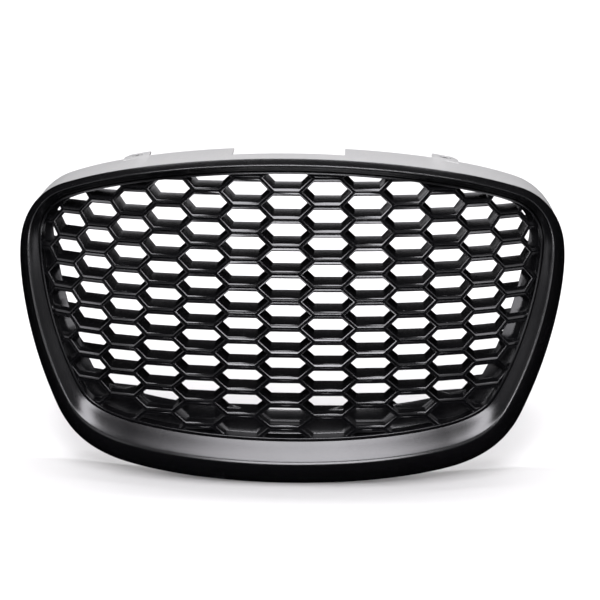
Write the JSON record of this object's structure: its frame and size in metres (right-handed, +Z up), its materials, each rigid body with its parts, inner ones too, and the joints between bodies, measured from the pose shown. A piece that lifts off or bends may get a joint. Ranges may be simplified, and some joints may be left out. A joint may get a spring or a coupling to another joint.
{
  "type": "front grille",
  "caption": "Curved car front grille: black bezel ring round a honeycomb mesh insert, on a grey carrier frame with upper mounting tabs.",
  "frame": {"origin": "centre of the whole grille's bounding box", "axes": "+X to the viewer's right when facing the front, +Y to the back (into the car), +Z up; the visible front faces -Y"},
  "size_m": [0.6434, 0.1696, 0.369],
  "materials": {
    "bezel_black": "satin to semi-gloss black moulded plastic",
    "mesh_black": "satin to semi-gloss black moulded plastic",
    "carrier_grey": "light grey unpainted moulded plastic",
    "screw_steel": "black zinc plated steel"
  },
  "bodies": {
    "root": {"bezel_ring": "bezel_black", "carrier_frame": "carrier_grey", "honeycomb_mesh": "mesh_black", "screw_right_1": "screw_steel", "screw_right_2": "screw_steel", "screw_right_3": "screw_steel", "screw_right_4": "screw_steel", "screw_right_5": "screw_steel", "screw_right_6": "screw_steel", "screw_left_1": "screw_steel", "screw_left_2": "screw_steel", "screw_left_3": "screw_steel", "screw_left_4": "screw_steel", "screw_left_5": "screw_steel", "screw_left_6": "screw_steel"}
  },
  "joints": []
}
